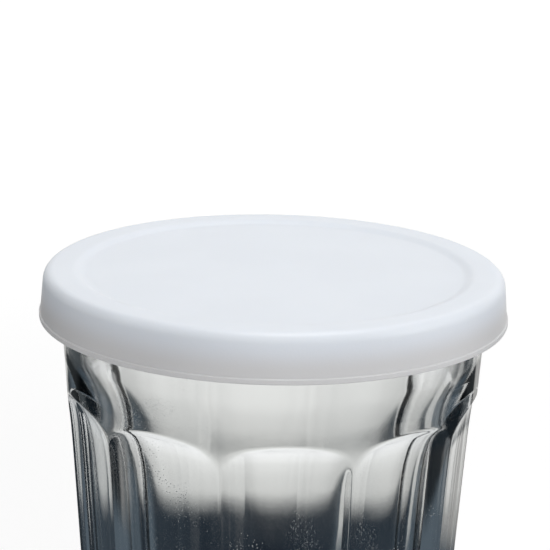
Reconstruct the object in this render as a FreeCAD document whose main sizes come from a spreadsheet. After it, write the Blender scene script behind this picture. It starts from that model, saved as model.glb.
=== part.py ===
"""Faceted glass storage jar with a snap-on plastic lid, as a parametric FreeCAD document.

The jar is a pressed glass tumbler: a tapered body with ten flat panels whose tops are
scooped into arches, a smooth collar, a rounded mouth bead, a thick floor and a hollowed
foot. The lid is a soft plastic cap with a shallow round recess, a flared skirt, a small
lip along its lower edge and a snap bead that grips under the mouth bead.

Units are millimetres. The origin is the centre of the foot ring, +Z points up, and one
panel faces -Y. Both pieces are bodies revolved about Z and bound to the "sizes" sheet.
"""
import FreeCAD, Part
import math
import os

import Sketcher


# Every size that can be set by itself: alias, value, what it is.
SIZES = [
    # jar body
    ("jar_height", 106.8, "foot to flat rim"),
    ("foot_radius", 33.5, "outside of the taper, carried down to the foot"),
    ("collar_radius", 40.35, "outside of the taper where the collar meets the bead"),
    ("collar_wall", 2.9, "glass thickness in the collar"),
    ("body_wall", 3.8, "glass thickness at the ridges, below the arches"),
    ("floor_thickness", 7.0, "glass under the cavity"),
    ("floor_round", 6.0, "corner between the floor and the wall, inside"),
    ("step_height", 13.0, "height over which the inside narrows behind the arches"),
    ("step_rise", 1.4, "how far the middle of that narrowing lies above the arch tops"),
    ("heel_round", 4.0, "rounding of the outside where the wall meets the foot"),
    ("hollow_radius", 23.0, "radius of the shallow hollow under the foot"),
    ("hollow_depth", 1.2, "depth of that hollow at its middle"),
    ("hollow_slope", 6.0, "width of the hollow's sloped edge"),
    ("hollow_round", 4.0, "rounding at both ends of that slope"),
    # mouth
    ("bead_reach", 1.75, "how far the mouth bead stands out from the collar"),
    ("bead_height", 7.0, "from the neck under the bead up to the rim"),
    ("bead_slope", 1.7, "height over which the bead's underside swells out"),
    ("bead_round", 1.0, "rounding of the bead's lower corner"),
    ("rim_round", 1.6, "outer rounding of the rim"),
    ("bore_round", 1.0, "inner rounding of the rim"),
    # panels
    ("panel_count", 10, "flat panels round the body"),
    ("arch_drop", 21.2, "from the rim down to the top of each arch"),
    ("scoop_radius", 7.0, "radius of the scoop that ends each panel"),
    ("tail_radius", 60.0, "radius of the shallow curve that leads into the scoop"),
    ("tail_height", 7.0, "length of that curve"),
    ("ridge_inset", 0.25, "how far the ridges lie inside the taper, before rounding"),
    ("ridge_round", 1.0, "rounding of the ridges and arch edges"),
    # lid
    ("lid_plate", 1.2, "thickness of the lid's top"),
    ("lid_wall", 1.15, "thickness of the skirt just under the top"),
    ("lid_round", 2.2, "outer rounding between the top and the skirt"),
    ("lid_corner", 0.8, "inner rounding between the top and the skirt"),
    ("skirt_flare", 0.45, "how far the skirt widens down to the lip"),
    ("skirt_tail", 0.2, "how far the skirt runs on below the snap bead"),
    ("lip_reach", 0.5, "how far the lip stands out from the skirt"),
    ("lip_height", 1.15, "height of the lip"),
    ("lip_bevel", 0.15, "height of the lip's sloped upper edge"),
    ("lip_round", 0.3, "rounding of the skirt's lower edges"),
    ("recess_depth", 0.7, "depth of the round recess in the top"),
    ("recess_slope", 1.2, "width of the recess's sloped edge"),
    ("recess_round", 1.5, "rounding at both ends of that slope"),
    ("plug_wall", 1.0, "how far the recess's foot lies inside the plug below it"),
    ("snap_reach", 0.9, "how far the snap bead reaches inward from the skirt"),
    ("snap_height", 2.2, "height of the snap bead"),
    # fits
    ("lid_gap", 0.3, "clearance between the mouth bead and the lid"),
    ("plug_gap", 0.6, "radial clearance between the mouth's bore and the plug"),
]


class Size:
    """A number together with the spreadsheet expression that gives it."""

    def __init__(self, value, text):
        self.value = float(value)
        self.text = text

    def __add__(self, other):
        other = as_size(other)
        return Size(self.value + other.value, f"({self.text} + {other.text})")

    def __sub__(self, other):
        other = as_size(other)
        return Size(self.value - other.value, f"({self.text} - {other.text})")

    def __mul__(self, other):
        other = as_size(other)
        return Size(self.value * other.value, f"{self.text} * {other.text}")

    def __truediv__(self, other):
        other = as_size(other)
        return Size(self.value / other.value, f"{self.text} / ({other.text})")


def as_size(number):
    """Wrap a plain number as a Size."""
    return number if isinstance(number, Size) else Size(number, repr(number))


def cosine(angle):
    """Cosine of a Size in degrees."""
    return Size(math.cos(math.radians(angle.value)), f"cos({angle.text} * 1 deg)")


def root(number):
    """Square root of a Size."""
    return Size(math.sqrt(number.value), f"sqrt({number.text})")


class Sizes:
    """The driving sizes and what several features share, one attribute for each."""

    def __init__(self, doc):
        sheet = doc.addObject("Spreadsheet::Sheet", "sizes")
        for row, (alias, value, note) in enumerate(SIZES, start=1):
            sheet.set(f"A{row}", alias)
            sheet.set(f"B{row}", str(value))
            sheet.set(f"C{row}", note)
            sheet.setAlias(f"B{row}", alias)
            setattr(self, alias, Size(value, f"sizes.{alias}"))
        doc.recompute()

        self.neck = self.jar_height - self.bead_height
        self.taper_slope = (self.collar_radius - self.foot_radius) / self.neck
        self.bead_radius = self.collar_radius + self.bead_reach
        self.bead_low = self.neck + self.bead_slope
        self.bore_radius = self.taper_at(self.jar_height) - self.collar_wall
        self.arch_top = self.jar_height - self.arch_drop

    def taper_at(self, height):
        """Outside radius of the jar's taper at a height."""
        return self.foot_radius + self.taper_slope * height


def origin_feature(body, role):
    """The plane or axis of a body's own origin that plays the given role."""
    for feature in body.Origin.OriginFeatures:
        if feature.Role == role:
            return feature
    raise ValueError(f"{body.Label} has no {role}")


def new_body(doc, label):
    """An empty PartDesign body whose label names its file."""
    body = doc.addObject("PartDesign::Body", label)
    body.Label = label
    body.Placement = FreeCAD.Placement()
    return body


def arc_between(start, end, radius):
    """Minor arc from start to end, bulging to the right of the way, or left if negative.

    The sketcher keeps arcs counterclockwise, so one that bulges left is made backwards.
    """
    chord = end - start
    half = chord.Length / 2
    side = FreeCAD.Vector(chord.y, -chord.x, 0).normalize()
    rise = abs(radius) - math.sqrt(radius * radius - half * half)
    crown = start + chord * 0.5 + side * math.copysign(rise, radius)
    if radius < 0:
        start, end = end, start
    return Part.Arc(start, crown, end)


def closed_outline(body, name, role, corners):
    """Sketch a closed outline on one of the body's own planes.

    Each corner is (x, y), and a straight edge leads from it to the next one. A corner
    (x, y, radius, side) starts an arc of that radius instead, which bulges to the right
    of the way where side is 1 and to the left where it is -1. Sizes may be 0.
    """
    sketch = body.newObject("Sketcher::SketchObject", name)
    sketch.AttachmentSupport = (origin_feature(body, role), [""])
    sketch.MapMode = "FlatFace"
    spots = [FreeCAD.Vector(as_size(c[0]).value, as_size(c[1]).value, 0) for c in corners]
    ends = []
    for i, corner in enumerate(corners):
        start = spots[i]
        end = spots[(i + 1) % len(spots)]
        if len(corner) == 4:
            curve = arc_between(start, end, corner[2].value * corner[3])
        else:
            curve = Part.LineSegment(start, end)
        edge = sketch.addGeometry(curve, False)
        added = sketch.Geometry[edge]
        forward = (added.StartPoint - start).Length < (added.EndPoint - start).Length
        ends.append((edge, 1, 2) if forward else (edge, 2, 1))
    for i, corner in enumerate(corners):
        edge, head, _ = ends[i]
        before, _, tail = ends[i - 1]
        sketch.addConstraint(Sketcher.Constraint("Coincident", before, tail, edge, head))
        pin_corner(sketch, edge, head, corner)
        if len(corner) == 4:
            held = Sketcher.Constraint("Radius", edge, corner[2].value)
            index = sketch.addConstraint(held)
            sketch.setExpression(f"Constraints[{index}]", corner[2].text)
    return sketch


def pin_corner(sketch, edge, point, corner):
    """Hold one corner at its two coordinates, or on an axis where a coordinate is 0."""
    axes = (("DistanceX", -2), ("DistanceY", -1))
    for (kind, axis), coordinate in zip(axes, corner):
        if isinstance(coordinate, Size):
            held = Sketcher.Constraint(kind, -1, 1, edge, point, coordinate.value)
            index = sketch.addConstraint(held)
            sketch.setExpression(f"Constraints[{index}]", coordinate.text)
        else:
            sketch.addConstraint(Sketcher.Constraint("PointOnObject", edge, point, axis))


def revolve(doc, body, name, corners, role="XZ_Plane"):
    """Turn a closed outline about the body's own Z axis into a solid, its seam in that plane."""
    return turned(doc, body, "Revolution", name, corners, role)


def groove(doc, body, name, corners):
    """Turn a closed outline about the body's own Z axis and cut it away."""
    before = body.Shape.Volume
    feature = turned(doc, body, "Groove", name, corners)
    require_cut(body, before, name)
    return feature


def turned(doc, body, kind, name, corners, role="XZ_Plane"):
    """A Revolution or a Groove of an outline on one of the body's upright planes."""
    sketch = closed_outline(body, f"{name}_outline", role, corners)
    feature = body.newObject(f"PartDesign::{kind}", name)
    feature.Profile = sketch
    feature.ReferenceAxis = (sketch, ["V_Axis"])
    feature.Angle = 360
    doc.recompute()
    return feature


def require_cut(body, before, name):
    """Stop if a cutting feature took nothing away, or everything."""
    if not 1 < body.Shape.Volume < before - 1:
        raise RuntimeError(f"{name} left {body.Shape.Volume} of {before}")


def round_circles(doc, body, name, radius, circles):
    """Fillet the body's circular edges that have these (radius, height) pairs."""
    edges = []
    for number, edge in enumerate(body.Shape.Edges, start=1):
        if edge.Degenerated or not isinstance(edge.Curve, Part.Circle):
            continue
        curve = edge.Curve
        for reach, height in circles:
            off_reach = abs(curve.Radius - reach.value)
            off_height = abs(curve.Center.z - as_size(height).value)
            if max(off_reach, off_height) < 0.01:
                edges.append(f"Edge{number}")
    if len(edges) < len(circles):
        raise RuntimeError(f"{name} found {len(edges)} of {len(circles)} edges")
    fillet_edges(doc, body, name, radius, edges)


def fillet_edges(doc, body, name, radius, edges):
    """A fillet on named edges of the body's last feature, its radius bound to a size."""
    base = body.Tip
    fillet = body.newObject("PartDesign::Fillet", name)
    fillet.Base = (base, edges)
    fillet.setExpression("Radius", radius.text)
    doc.recompute()


def build_jar(doc, sizes):
    """The glass jar: blank, arched panels, cavity and hollowed foot."""
    body = new_body(doc, "jar")
    form_blank(doc, body, sizes)
    cut_panels(doc, body, sizes)
    soften_panels(doc, body, sizes)
    cut_cavity(doc, body, sizes)
    hollow_foot(doc, body, sizes)
    return body


def form_blank(doc, body, sizes):
    """The solid outside of the jar: taper, heel, mouth bead and rim.

    Its seam runs up the middle of a panel, where it stays clear of the rounded ridges.
    """
    revolve(doc, body, "blank", [
        (0, 0),
        (sizes.foot_radius, 0),
        (sizes.collar_radius, sizes.neck),
        (sizes.bead_radius, sizes.bead_low),
        (sizes.bead_radius, sizes.jar_height),
        (0, sizes.jar_height),
    ], "YZ_Plane")
    round_circles(doc, body, "heel", sizes.heel_round, [(sizes.foot_radius, 0)])
    bead_edge = (sizes.bead_radius, sizes.bead_low)
    round_circles(doc, body, "bead_under", sizes.bead_round, [bead_edge])
    rim_edge = (sizes.bead_radius, sizes.jar_height)
    round_circles(doc, body, "rim_outer", sizes.rim_round, [rim_edge])


def cut_panels(doc, body, sizes):
    """Cut one arched panel and repeat it round the body.

    A panel is a plane that leans with the taper, and its neighbours meet it in ridges just
    inside the taper. At its top it turns outward in a long shallow tail and then in a
    tighter scoop, and the scoop meets the taper in an arch.
    """
    apothem = cosine(as_size(180) / sizes.panel_count)
    slope = sizes.taper_slope * apothem
    lean_cos = as_size(1) / root(slope * slope + 1)
    lean_sin = slope * lean_cos
    foot_reach = (sizes.foot_radius - sizes.ridge_inset) * apothem

    # along and away from the panel's plane: where the tail ends and its slope there
    tail_sin = sizes.tail_height / sizes.tail_radius
    tail_cos = root(as_size(1) - tail_sin * tail_sin)
    tail_climb = sizes.tail_radius * (as_size(1) - tail_cos)

    # the arch's top lies where the scoop has climbed from the panel out to the taper
    climb = (sizes.taper_at(sizes.arch_top) - foot_reach - slope * sizes.arch_top) * lean_cos
    top_cos = tail_cos - (climb - tail_climb) / sizes.scoop_radius
    top_sin = root(as_size(1) - top_cos * top_cos)
    run = sizes.tail_height + sizes.scoop_radius * (top_sin - tail_sin)
    low_height = sizes.arch_top - run * lean_cos + climb * lean_sin
    low_reach = foot_reach + slope * low_height

    def beside(along, away):
        """The point of the outline at these distances from where the tail starts."""
        return (low_reach + along * lean_sin + away * lean_cos,
                low_height + along * lean_cos - away * lean_sin)

    tail_end = beside(sizes.tail_height, tail_climb)
    scoop_end = beside(sizes.tail_height + sizes.scoop_radius * (as_size(1) - tail_sin),
                       tail_climb + sizes.scoop_radius * tail_cos)
    clear = scoop_end[0] + sizes.bead_radius

    sketch = closed_outline(body, "panel_outline", "YZ_Plane", [
        (foot_reach, 0),
        (low_reach, low_height, sizes.tail_radius, -1),
        (*tail_end, sizes.scoop_radius, -1),
        scoop_end,
        (clear, scoop_end[1]),
        (clear, 0),
    ])
    before = body.Shape.Volume
    panel = body.newObject("PartDesign::Pocket", "panel")
    panel.Profile = sketch
    panel.SideType = "Symmetric"
    panel.setExpression("Length", (sizes.collar_radius * 2).text)
    doc.recompute()
    panels = body.newObject("PartDesign::PolarPattern", "panels")
    panels.Originals = [panel]
    panels.Axis = (origin_feature(body, "Z_Axis"), [""])
    panels.Angle = 360
    panels.setExpression("Occurrences", sizes.panel_count.text)
    body.Tip = panels
    doc.recompute()
    require_cut(body, before, "panels")


def soften_panels(doc, body, sizes):
    """Round the arches, which bound the taper, and the ridges between two panels."""
    shape = body.Shape
    cones = [face for face in shape.Faces if isinstance(face.Surface, Part.Cone)]
    taper = max(cones, key=lambda face: face.Area)
    arches = []
    ridges = []
    for number, edge in enumerate(shape.Edges, start=1):
        if edge.Degenerated or isinstance(edge.Curve, Part.Circle):
            continue
        if any(edge.isSame(other) for other in taper.Edges):
            if not edge.isSeam(taper):
                arches.append(f"Edge{number}")
            continue
        faces = shape.ancestorsOfType(edge, Part.Face)
        flanks = [f for f in faces if isinstance(f.Surface, (Part.Plane, Part.Cylinder))]
        ends = [vertex.Z for vertex in edge.Vertexes]
        if len(flanks) == 2 and max(ends) - min(ends) > 0.01:
            ridges.append(f"Edge{number}")
    if len(arches) < sizes.panel_count.value or len(ridges) < sizes.panel_count.value:
        raise RuntimeError(f"found {len(arches)} arch and {len(ridges)} ridge edges")
    fillet_edges(doc, body, "ridges", sizes.ridge_round, arches + ridges)


def cut_cavity(doc, body, sizes):
    """Cut the cavity, which narrows in an ogee behind the arches, and round its corners."""
    step_middle = sizes.arch_top + sizes.step_rise
    step_high = step_middle + sizes.step_height / 2
    step_low = step_middle - sizes.step_height / 2
    high_radius = sizes.taper_at(step_high) - sizes.collar_wall
    low_radius = sizes.taper_at(step_low) - sizes.body_wall
    floor_radius = sizes.taper_at(sizes.floor_thickness) - sizes.body_wall
    inset = sizes.body_wall - sizes.collar_wall
    ogee = (sizes.step_height * sizes.step_height + inset * inset) / (inset * 4)
    groove(doc, body, "cavity", [
        (0, sizes.floor_thickness),
        (floor_radius, sizes.floor_thickness),
        (low_radius, step_low, ogee, 1),
        ((low_radius + high_radius) / 2, step_middle, ogee, -1),
        (high_radius, step_high),
        (sizes.bore_radius, sizes.jar_height),
        (0, sizes.jar_height),
    ])
    floor_edge = (floor_radius, sizes.floor_thickness)
    round_circles(doc, body, "floor_corner", sizes.floor_round, [floor_edge])
    bore_edge = (sizes.bore_radius, sizes.jar_height)
    round_circles(doc, body, "rim_inner", sizes.bore_round, [bore_edge])


def hollow_foot(doc, body, sizes):
    """Cut the shallow hollow under the foot, so that the jar stands on a ring."""
    reach = sizes.hollow_radius
    top_reach = reach - sizes.hollow_slope
    depth = sizes.hollow_depth
    groove(doc, body, "hollow", [
        (0, 0),
        (reach, 0),
        (top_reach, depth),
        (0, depth),
    ])
    slope_ends = [(reach, 0), (top_reach, depth)]
    round_circles(doc, body, "hollow_edges", sizes.hollow_round, slope_ends)


def build_lid(doc, sizes):
    """The plastic lid, fitted over the mouth bead and seated on the rim."""
    body = new_body(doc, "lid")
    top = sizes.jar_height + sizes.lid_plate
    recess_floor = top - sizes.recess_depth
    plug_low = recess_floor - sizes.lid_plate
    plug_radius = sizes.bore_radius - sizes.plug_gap
    recess_radius = plug_radius - sizes.plug_wall
    recess_edge = recess_radius + sizes.recess_slope
    skirt_inner = sizes.bead_radius + sizes.lid_gap
    shoulder = skirt_inner + sizes.lid_wall
    skirt_outer = shoulder + sizes.skirt_flare
    lip_outer = skirt_outer + sizes.lip_reach
    snap_root = skirt_inner + sizes.skirt_flare / 2

    # the snap bead is an arc that clears the bead's sloped underside by the lid gap
    half_snap = sizes.snap_height / 2
    snap_arc = (half_snap * half_snap + sizes.snap_reach * sizes.snap_reach)
    snap_arc = snap_arc / (sizes.snap_reach * 2)
    centre_reach = snap_root - sizes.snap_reach + snap_arc - sizes.collar_radius
    slope_length = root(sizes.bead_reach * sizes.bead_reach + sizes.bead_slope * sizes.bead_slope)
    drop = (snap_arc + sizes.lid_gap) * slope_length - centre_reach * sizes.bead_slope
    snap_middle = sizes.neck - drop / sizes.bead_reach
    snap_low = snap_middle - half_snap
    lid_low = snap_low - sizes.skirt_tail
    lip_high = lid_low + sizes.lip_height

    revolve(doc, body, "cap", [
        (0, plug_low),
        (plug_radius, plug_low),
        (plug_radius, sizes.jar_height),
        (skirt_inner, sizes.jar_height),
        (snap_root, snap_middle + half_snap, snap_arc, -1),
        (snap_root, snap_low),
        (snap_root, lid_low),
        (lip_outer, lid_low),
        (lip_outer, lip_high - sizes.lip_bevel),
        (skirt_outer, lip_high),
        (shoulder, top),
        (recess_edge, top),
        (recess_radius, recess_floor),
        (0, recess_floor),
    ])
    round_circles(doc, body, "shoulder", sizes.lid_round, [(shoulder, top)])
    inner_corner = (skirt_inner, sizes.jar_height)
    round_circles(doc, body, "inner_corner", sizes.lid_corner, [inner_corner])
    lower_edge = (lip_outer, lid_low)
    round_circles(doc, body, "lip_edge", sizes.lip_round, [lower_edge])
    recess_ends = [(recess_edge, top), (recess_radius, recess_floor)]
    round_circles(doc, body, "recess_edges", sizes.recess_round, recess_ends)
    return body


def check_document(doc, bodies):
    """Stop on any failed feature, and on a body that isn't one valid solid."""
    for thing in doc.Objects:
        if "Invalid" in thing.State or "Error" in thing.State:
            raise RuntimeError(f"{thing.Name} failed: {thing.State}")
    for body in bodies:
        shape = body.Shape
        if shape.isNull() or not shape.isValid() or len(shape.Solids) != 1:
            raise RuntimeError(f"{body.Label} is not one valid solid")


def main():
    """Build the document, check it and write one STEP file for each body."""
    doc = FreeCAD.newDocument("storage_jar")
    sizes = Sizes(doc)
    bodies = [build_jar(doc, sizes), build_lid(doc, sizes)]
    doc.recompute()
    check_document(doc, bodies)
    os.makedirs("parts", exist_ok=True)
    for body in bodies:
        body.Shape.exportStep(f"parts/{body.Label}.step")
        box = body.Shape.optimalBoundingBox()
        print(f"{body.Label}: {body.Shape.Volume / 1000:.2f} cm3, "
              f"x {box.XMin:.2f} to {box.XMax:.2f}, z {box.ZMin:.2f} to {box.ZMax:.2f}")


main()
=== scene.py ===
"""Glass storage jar with a press-on plastic lid: pieces, finishes, studio and camera.

Both pieces are made again at the frame's sizes with finer rounding than the frame carries:
the jar as a turned blank whose panels a node tree presses in, the lid as a turned outline.
Sizes are in millimetres until a mesh is made, and in metres from there on.
"""

import logging
import math
from dataclasses import dataclass
from enum import Enum
from typing import Any, Iterable, Mapping, Sequence, Union

import bmesh
import bpy
from mathutils import Matrix, Vector


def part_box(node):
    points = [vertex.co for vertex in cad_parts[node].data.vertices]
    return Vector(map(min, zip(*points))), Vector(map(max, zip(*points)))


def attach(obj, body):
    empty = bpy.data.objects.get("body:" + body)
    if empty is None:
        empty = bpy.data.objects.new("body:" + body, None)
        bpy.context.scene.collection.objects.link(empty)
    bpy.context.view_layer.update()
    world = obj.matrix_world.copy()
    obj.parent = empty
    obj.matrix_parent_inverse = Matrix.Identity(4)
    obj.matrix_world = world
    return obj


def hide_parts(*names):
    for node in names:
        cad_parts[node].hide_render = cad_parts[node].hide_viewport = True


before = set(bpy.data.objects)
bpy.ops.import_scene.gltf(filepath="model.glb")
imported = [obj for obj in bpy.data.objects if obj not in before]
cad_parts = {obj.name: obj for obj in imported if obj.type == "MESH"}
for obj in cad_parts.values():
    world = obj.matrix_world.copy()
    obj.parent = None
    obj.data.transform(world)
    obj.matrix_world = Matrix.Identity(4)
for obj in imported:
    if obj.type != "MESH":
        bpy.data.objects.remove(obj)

MM = 0.001
ON_AXIS = 1e-6  # what reaches less than this far from the axis counts as on it
LOG = logging.getLogger("storage_jar")
Colour = tuple[float, float, float]
Ring = tuple[float, float]  # reach and height
Value = Union[float, bpy.types.NodeSocket]  # a number, or a socket that gives one
BLACK: Colour = (0.0, 0.0, 0.0)
WHITE: Colour = (1.0, 1.0, 1.0)


# ---------------------------------------------------------------- turned outlines


@dataclass(frozen=True)
class Corner:
    """One corner of a turned outline.

    Args:
        reach: distance from the axis, in mm.
        height: height above the foot, in mm.
        rounding: radius that the corner is rounded to, in mm.
        rows: rows that the edge from the last corner to this one is divided into.
    """

    reach: float
    height: float
    rounding: float = 0.0
    rows: int = 1


def rounded_outline(corners: Sequence[Corner], arc_rows: int) -> list[Ring]:
    """Trace an outline, with its corners rounded and its edges divided.

    Args:
        corners: corners in order, each with its own rounding.
        arc_rows: rows in a quarter turn of rounding, and at least 3 in any.

    Returns:
        (reach, height) of each ring, in mm.
    """
    ends: list[tuple[Vector, Vector, list[Vector]]] = []
    for index, corner in enumerate(corners):
        here = Vector((corner.reach, corner.height))
        if corner.rounding == 0 or index in (0, len(corners) - 1):
            ends.append((here, here, []))
            continue
        before, after = corners[index - 1], corners[index + 1]
        back = (Vector((before.reach, before.height)) - here).normalized()
        on = (Vector((after.reach, after.height)) - here).normalized()
        turn = math.pi - back.angle(on)
        cut = corner.rounding * math.tan(turn / 2)
        middle = here + (back + on).normalized() * corner.rounding / math.cos(turn / 2)
        start, stop = here + back * cut, here + on * cut
        rows = max(3, round(arc_rows * turn / (math.pi / 2)))
        arm, side = start - middle, stop - middle
        arc = []
        for row in range(1, rows):
            share = row / rows
            weights = math.sin((1 - share) * turn), math.sin(share * turn)
            arc.append(middle + (arm * weights[0] + side * weights[1]) / math.sin(turn))
        ends.append((start, stop, arc))
    rings = [tuple(ends[0][1])]
    for index in range(1, len(corners)):
        last, (start, stop, arc) = ends[index - 1][1], ends[index]
        for row in range(1, corners[index].rows + 1):
            rings.append(tuple(last.lerp(start, row / corners[index].rows)))
        if arc:
            rings.extend(tuple(point) for point in arc)
            rings.append(tuple(stop))
    return rings


def turned_mesh(name: str, rings: Sequence[Ring], columns: Sequence[float]) -> bpy.types.Object:
    """Turn an outline that starts and ends on the axis into a closed mesh.

    Args:
        name: name of the object and its mesh.
        rings: (reach, height) from one pole to the other, in mm.
        columns: angles round the axis, in radians, from the front towards +X.

    Returns:
        The new object, linked to the scene, with outward faces and smooth shading.
    """
    mesh = bpy.data.meshes.new(name)
    work = bmesh.new()
    loops: list[list[bmesh.types.BMVert]] = []
    for reach, height in rings:
        if reach < ON_AXIS:
            loops.append([work.verts.new((0.0, 0.0, height * MM))])
            continue
        loops.append([
            work.verts.new((reach * MM * math.sin(a), -reach * MM * math.cos(a), height * MM))
            for a in columns
        ])
    for low, high in zip(loops, loops[1:]):
        for index in range(len(columns)):
            beside = (index + 1) % len(columns)
            if len(low) == 1:
                work.faces.new((low[0], high[beside], high[index]))
            elif len(high) == 1:
                work.faces.new((low[index], low[beside], high[0]))
            else:
                work.faces.new((low[index], low[beside], high[beside], high[index]))
    bmesh.ops.recalc_face_normals(work, faces=work.faces)
    for face in work.faces:
        face.smooth = True
    work.to_mesh(mesh)
    work.free()
    piece = bpy.data.objects.new(name, mesh)
    bpy.context.scene.collection.objects.link(piece)
    return piece


def even_columns(count: int) -> list[float]:
    """Angles of evenly spaced columns."""
    return [2 * math.pi * index / count for index in range(count)]


def panel_columns(panels: int, per_panel: int) -> list[float]:
    """Angles of columns that crowd towards the ridges between panels.

    Args:
        panels: panels round the jar, the first with its middle at the front.
        per_panel: columns in one panel.

    Returns:
        Angles in radians, in order round the axis.
    """
    half = math.pi / panels
    steps = [half * math.sin((2 * k / per_panel - 1) * math.pi / 2) for k in range(per_panel)]
    return [2 * half * panel + step for panel in range(panels) for step in steps]


# ---------------------------------------------------------------- node trees


class NodeBench:
    """Adds nodes to a tree and links them, with plain numbers as socket values."""

    def __init__(self, tree: bpy.types.NodeTree) -> None:
        """Take a tree to work on."""
        self.tree = tree

    def add(self, kind: str, **settings: Any) -> bpy.types.Node:
        """Add a node and set its properties.

        Args:
            kind: the node's type, by Blender's name for it.
            **settings: value of each property to set.

        Returns:
            The new node.
        """
        node = self.tree.nodes.new(kind)
        for name, value in settings.items():
            setattr(node, name, value)
        return node

    def feed(self, socket: bpy.types.NodeSocket, value: Any) -> None:
        """Link a socket to another, or set its own value.

        Args:
            socket: the input to feed.
            value: the output to link it to, or the value itself.
        """
        if isinstance(value, bpy.types.NodeSocket):
            self.tree.links.new(value, socket)
        else:
            socket.default_value = value

    def math(self, operation: str, *values: Value) -> bpy.types.NodeSocket:
        """Add a Math node.

        Args:
            operation: what the node does.
            *values: number or socket for each of its inputs, in order.

        Returns:
            Its result.
        """
        node = self.add("ShaderNodeMath", operation=operation)
        for index, value in enumerate(values):
            self.feed(node.inputs[index], value)
        return node.outputs[0]

    def split(self, vector: bpy.types.NodeSocket) -> Sequence[bpy.types.NodeSocket]:
        """Take a vector apart.

        Args:
            vector: the vector.

        Returns:
            Its X, Y and Z.
        """
        node = self.add("ShaderNodeSeparateXYZ")
        self.feed(node.inputs[0], vector)
        return node.outputs

    def ramp(self, value: Value, low: float, high: float, smooth: bool = True) -> bpy.types.NodeSocket:
        """Rise from 0 to 1 between two values.

        Args:
            value: what the rise goes by.
            low: value at which it starts, from 0.
            high: value at which it ends, at 1. It may be the smaller of the two.
            smooth: whether the rise eases in and out.

        Returns:
            How far the rise has come.
        """
        kind = "SMOOTHSTEP" if smooth else "LINEAR"
        node = self.add("ShaderNodeMapRange", interpolation_type=kind)
        self.feed(node.inputs["Value"], value)
        node.inputs["From Min"].default_value = low
        node.inputs["From Max"].default_value = high
        return node.outputs["Result"]

    def blend(self, share: Value, first: Any, second: Any) -> bpy.types.NodeSocket:
        """Mix two colours, each a colour or a socket.

        Args:
            share: how much of the second there is.
            first: the one colour.
            second: the other.

        Returns:
            The mixed colour.
        """
        node = self.add("ShaderNodeMix", data_type="RGBA")
        self.feed(node.inputs["Factor"], share)
        for name, colour in (("A", first), ("B", second)):
            socket = next(s for s in node.inputs if s.name == name and s.type == "RGBA")
            self.feed(socket, (*colour, 1.0) if isinstance(colour, tuple) else colour)
        return next(s for s in node.outputs if s.type == "RGBA")

    def stops(self, value: Value, stops: Sequence[tuple[float, Colour]]) -> bpy.types.NodeSocket:
        """A colour that changes evenly from one stop to the next.

        Args:
            value: what the colour goes by.
            stops: (value, colour) of each stop, in rising order.

        Returns:
            The colour.
        """
        low, high = stops[0][0], stops[-1][0]
        node = self.add("ShaderNodeValToRGB")
        elements = node.color_ramp.elements
        while len(elements) < len(stops):
            elements.new(0.5)
        for element, (at, colour) in zip(elements, stops):
            element.position = (at - low) / (high - low)
            element.color = (*colour, 1.0)
        self.feed(node.inputs[0], self.ramp(value, low, high, smooth=False))
        return node.outputs["Color"]

    def noise(self, place: bpy.types.NodeSocket, scale: float, detail: float) -> bpy.types.NodeSocket:
        """Add a Noise Texture.

        Args:
            place: where its pattern is read.
            scale: waves in a metre.
            detail: octaves.

        Returns:
            Its factor.
        """
        node = self.add("ShaderNodeTexNoise")
        self.feed(node.inputs["Vector"], place)
        node.inputs["Scale"].default_value = scale
        node.inputs["Detail"].default_value = detail
        return node.outputs[0]

    def either(self, share: Value, first: Value, second: Value) -> bpy.types.NodeSocket:
        """Mix two shaders.

        Args:
            share: how much of the second there is.
            first: the one shader.
            second: the other.

        Returns:
            The mixed shader.
        """
        node = self.add("ShaderNodeMixShader")
        for socket, value in zip(node.inputs, (share, first, second)):
            self.feed(socket, value)
        return node.outputs[0]


def blank_material(name: str) -> tuple[bpy.types.Material, NodeBench, bpy.types.Node]:
    """A new material with only its Principled BSDF and output.

    Args:
        name: name of the material.

    Returns:
        The material, a bench on its tree, and the Principled BSDF.
    """
    material = bpy.data.materials.new(name)
    material.use_nodes = True
    return material, NodeBench(material.node_tree), material.node_tree.nodes["Principled BSDF"]


# ---------------------------------------------------------------- finishes


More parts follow.
